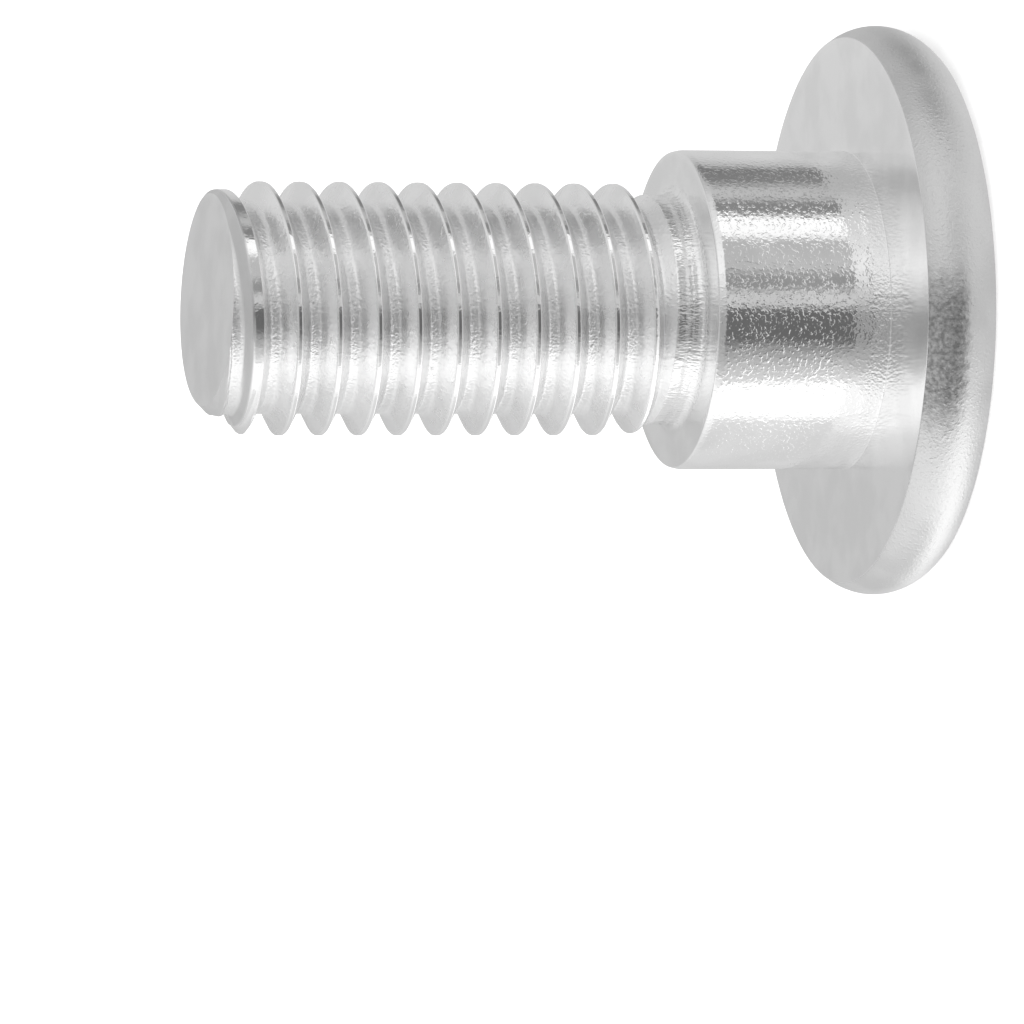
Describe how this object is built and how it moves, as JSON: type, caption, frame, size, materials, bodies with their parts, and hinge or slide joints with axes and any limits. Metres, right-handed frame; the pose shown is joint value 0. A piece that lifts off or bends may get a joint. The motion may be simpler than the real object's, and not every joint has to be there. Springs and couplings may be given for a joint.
{
  "type": "kick starter bolt",
  "caption": "Shoulder bolt with a thin round head, a plain cylindrical shoulder, a short neck and a right-hand threaded end, in bright zinc-plated steel.",
  "frame": {"origin": "centre of the head's outer face, on the surface that the bolt stands on", "axes": "+Z along the bolt's axis from the head to the thread's tip; X and Y lie in the head's outer face and the drive socket has two corners on X"},
  "size_m": [0.0178, 0.0178, 0.0228],
  "materials": {
    "zinc_plated_steel": "bright zinc plating over cold-formed steel, slightly pitted"
  },
  "bodies": {
    "root": {"shoulder_bolt": "zinc_plated_steel"}
  },
  "joints": []
}
